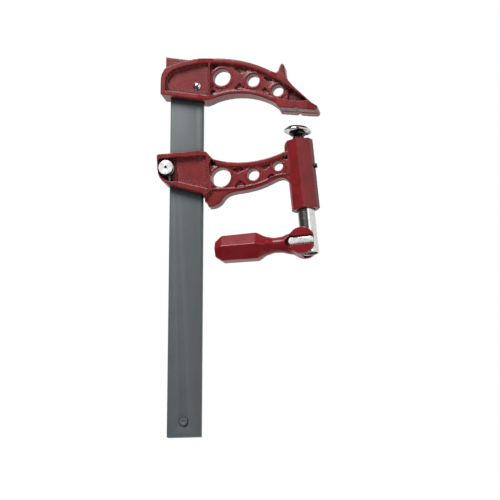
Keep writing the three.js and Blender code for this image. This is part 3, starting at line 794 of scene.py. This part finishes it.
def head_lobes():
    """The raised round cheeks that the key's slot runs through."""
    offset, right, left, reach = HEAD["offset"], HEAD["lobe_edge"], -19.4, 20
    middle = HANDLE_FRAME @ Matrix.Translation((-offset, 0, 0))
    lobes = drill(HEAD["radius"] - 0.6, HEAD["lobe"], middle, "Y", 96)
    edge = [(left, -reach), (right, -reach), (right, reach), (left, reach)]
    return combine(lobes, plate("trim", edge, -reach, reach, HANDLE_FRAME), "INTERSECT")


def cut_fork(obj):
    """Clears the room in which the spindle's end swings."""
    half, radius, reach = FORK["half"], FORK["radius"], 60
    combine(obj, drill(radius, half, HANDLE_FRAME, "Y", 96), "DIFFERENCE")
    left = -half - 1.4
    well = [(left, 0), (reach, 0), (reach, reach), (left, reach)]
    combine(obj, plate("well", well, -half, half, HANDLE_FRAME), "DIFFERENCE")


def cut_key_seats(obj):
    """Cuts the slot for the key on both cheeks, with a deeper round hollow at its left end."""
    half, left, reach = KEY["half"] + GAP, -KEY["left"], 30
    slot = arc(half + left - 4.4, 0, half, 90, 270, 16) + [(reach, -half), (reach, half)]
    hollow = arc(left + 1.6, 0, KEY["half"] + 1.6, 0, 345, 23)
    outside, hollow_depth = 40, 5.5
    for side in (-1, 1):
        bottom = side * (KEY["base"] - GAP)
        combine(obj, plate("slot", slot, bottom, side * outside, HANDLE_FRAME), "DIFFERENCE")
        bottom = side * hollow_depth
        combine(obj, plate("hollow", hollow, bottom, side * outside, HANDLE_FRAME), "DIFFERENCE")


MOULDING = {"voxel": 0.5, "rounds": 6, "grain_depth": 0.04, "grain_size": 4.0}


def handle():
    """The moulded plastic handle, all of one skin."""
    obj = grip()
    combine(obj, head_block(), "UNION")
    combine(obj, head_lobes(), "UNION")
    cut_fork(obj)
    cut_key_seats(obj)
    combine(obj, drill(PIVOT["radius"] + GAP, 40, HANDLE_FRAME, "Y"), "DIFFERENCE")
    remeshed(obj, MOULDING["voxel"], MOULDING["rounds"])
    roughened(obj, MOULDING["grain_depth"], MOULDING["grain_size"], 5)
    return finished(obj, PLASTIC, "handle", "handle_grip", angle=50)


def key_ring(inset, depth, lean=0.0, steps=16):
    """The key head's outline, drawn in by inset, at a depth that falls off to the left by lean."""
    half = KEY["half"] - inset
    left, right = KEY["left"] - inset, KEY["right"] - inset
    outline = arc(half - left, 0, half, 90, 270, steps) + arc(right - half, 0, half, -90, 90, steps)
    return [(x, depth + lean * smooth_step(-x, 3.5, left), z) for x, z in outline]


def key_head(name, front):
    """A long oval head with a rolled rim; front is -1 for the front of the clamp and 1 for its back."""
    base, top = KEY["base"], KEY["top"]
    rings = [key_ring(0.25, front * base), key_ring(0.0, front * (base + 0.3))]
    rim_width, rim_height, lean, steps = 3.1, 1.6, 1.9, 8
    for i in range(steps + 1):
        turn = math.radians(90 * i / steps)
        inset = rim_width * (1 - math.cos(turn))
        rise = (top - base - rim_height) + rim_height * math.sin(turn)
        rings.append(key_ring(inset, front * (base + rise), -front * lean * (rise / (top - base))))
    return loft(name, rings, HANDLE_FRAME)


def pivot_pin():
    obj = key_head("handle_pivot_pin_key", -1)
    radius, start, end = PIVOT["radius"], -KEY["base"] - 1.5, KEY["top"]
    profile = [(0, start), (radius, start), (radius, end - 0.3), (2.4, end), (0, end)]
    combine(obj, revolved("shank", eased(profile, 0.5, 3), HANDLE_FRAME, 64, "Y"), "UNION")
    return finished(obj, MACHINED, "handle", "handle_pivot_pin", angle=40)


def pivot_plate():
    obj = key_head("handle_pivot_plate_pressed", 1)
    combine(obj, drill(PIVOT["radius"] + GAP / 2, 40, HANDLE_FRAME, "Y"), "DIFFERENCE")
    return finished(obj, MACHINED, "handle", "handle_pivot_plate", angle=40)


# ---- stage, light and camera ----
FLOOR_Z, FLOOR_HALF = -0.3, 6
LIGHT_AIM = Vector((0.06, 0.0, 0.28))
AIM = Vector((0.067, 0.0, 0.1899))
AZIMUTH, ELEVATION, DISTANCE = math.radians(11), math.radians(-13.6), 1.6346
LENS, SENSOR = 115.2, 36
# The studio's brightness by bearing: 0 and 1 are the camera's side, 0.25 left, 0.5 behind, 0.75 right.
STUDIO_FRONT_LEFT = ((0.0, 0.05), (0.04, 0.09), (0.09, 0.1), (0.13, 0.04), (0.24, 0.04))
STUDIO_BACK = ((0.32, 0.2), (0.39, 0.9), (0.5, 1.0), (0.7, 1.0), (0.83, 1.1), (0.86, 0.9))
STUDIO_FRONT_RIGHT = ((0.9, 0.04), (1.0, 0.05))
STUDIO = STUDIO_FRONT_LEFT + STUDIO_BACK + STUDIO_FRONT_RIGHT


def floor():
    """A pale floor well below the clamp, out of the main camera's view and left out of reflections."""
    half, height = FLOOR_HALF / MM, FLOOR_Z / MM
    corners = [(-half, -half, height), (half, -half, height), (half, half, height), (-half, half, height)]
    obj = new_object("floor", corners, [(0, 1, 2, 3)])
    material = bpy.data.materials.new("pale_floor")
    material.use_nodes = True
    surface = material.node_tree.nodes["Principled BSDF"]
    surface.inputs["Base Color"].default_value = (0.86, 0.86, 0.85, 1)
    surface.inputs["Roughness"].default_value = 0.8
    obj.data.materials.append(material)
    obj.visible_glossy = False


def soft_light(name, position, size, power):
    """A soft rectangular lamp that looks at the middle of the jaws."""
    data = bpy.data.lights.new(name, "AREA")
    data.shape = "RECTANGLE"
    data.size, data.size_y = size
    data.energy = power
    data.spread = math.radians(150)
    lamp = bpy.data.objects.new(name, data)
    lamp.location = position
    direction = LIGHT_AIM - Vector(position)
    lamp.rotation_mode = "QUATERNION"
    lamp.rotation_quaternion = direction.to_track_quat("-Z", "Y")
    bpy.context.scene.collection.objects.link(lamp)


def studio_colour(nodes, links):
    """A grey that depends on the bearing only, from the table STUDIO."""
    place = nodes.new("ShaderNodeTexCoord")
    split = nodes.new("ShaderNodeSeparateXYZ")
    links.new(place.outputs["Generated"], split.inputs[0])
    turn = nodes.new("ShaderNodeMath")
    turn.operation = "ARCTAN2"
    links.new(split.outputs["X"], turn.inputs[0])
    links.new(split.outputs["Y"], turn.inputs[1])
    share = nodes.new("ShaderNodeMapRange")
    share.inputs["From Min"].default_value = -math.pi
    share.inputs["From Max"].default_value = math.pi
    links.new(turn.outputs[0], share.inputs["Value"])
    ramp = nodes.new("ShaderNodeValToRGB")
    while len(ramp.color_ramp.elements) < len(STUDIO):
        ramp.color_ramp.elements.new(0.5)
    for element, (position, grey) in zip(ramp.color_ramp.elements, STUDIO):
        element.position = position
        element.color = (grey, grey, grey, 1)
    links.new(share.outputs[0], ramp.inputs[0])
    return ramp.outputs[0]


def world():
    """White for the camera, a studio for reflections and an even pale grey for all other light."""
    sky = bpy.data.worlds.new("studio")
    bpy.context.scene.world = sky
    sky.use_nodes = True
    nodes, links = sky.node_tree.nodes, sky.node_tree.links
    nodes.clear()
    out = nodes.new("ShaderNodeOutputWorld")
    rays = nodes.new("ShaderNodeLightPath")

    def background(strength):
        node = nodes.new("ShaderNodeBackground")
        node.inputs["Color"].default_value = (1, 1, 1, 1)
        node.inputs["Strength"].default_value = strength
        return node

    def choose(ray, otherwise, then):
        node = nodes.new("ShaderNodeMixShader")
        links.new(rays.outputs[ray], node.inputs[0])
        links.new(otherwise.outputs[0], node.inputs[1])
        links.new(then.outputs[0], node.inputs[2])
        return node

    studio = background(0.9)
    links.new(studio_colour(nodes, links), studio.inputs["Color"])
    lit = choose("Is Glossy Ray", background(0.3), studio)
    links.new(choose("Is Camera Ray", lit, background(1)).outputs[0], out.inputs["Surface"])


def camera():
    data = bpy.data.cameras.new("camera")
    data.lens, data.sensor_width = LENS, SENSOR
    obj = bpy.data.objects.new("camera", data)
    flat = math.cos(ELEVATION)
    back = Vector((math.sin(AZIMUTH) * flat, -math.cos(AZIMUTH) * flat, math.sin(ELEVATION)))
    obj.location = AIM + back * DISTANCE
    obj.rotation_mode = "QUATERNION"
    obj.rotation_quaternion = (-back).to_track_quat("-Z", "Y")
    bpy.context.scene.collection.objects.link(obj)
    bpy.context.scene.camera = obj


cast_jaw("fixed_jaw", "frame", 3)
cast_jaw("sliding_jaw", "arm", 8)
bar()
stop_pin()
rivet()
brake_pin()
keeper()
screw()
tube()
nut()
lock_screw()
pad_ball()
collar()
cap()
handle()
pivot_pin()
pivot_plate()

floor()
world()
soft_light("key", (-0.4, -0.95, 1.4), (0.7, 0.7), 18)
soft_light("fill", (0.9, -1.2, 0.5), (0.5, 0.9), 2)
camera()
scene = bpy.context.scene
scene.view_settings.view_transform = "Standard"
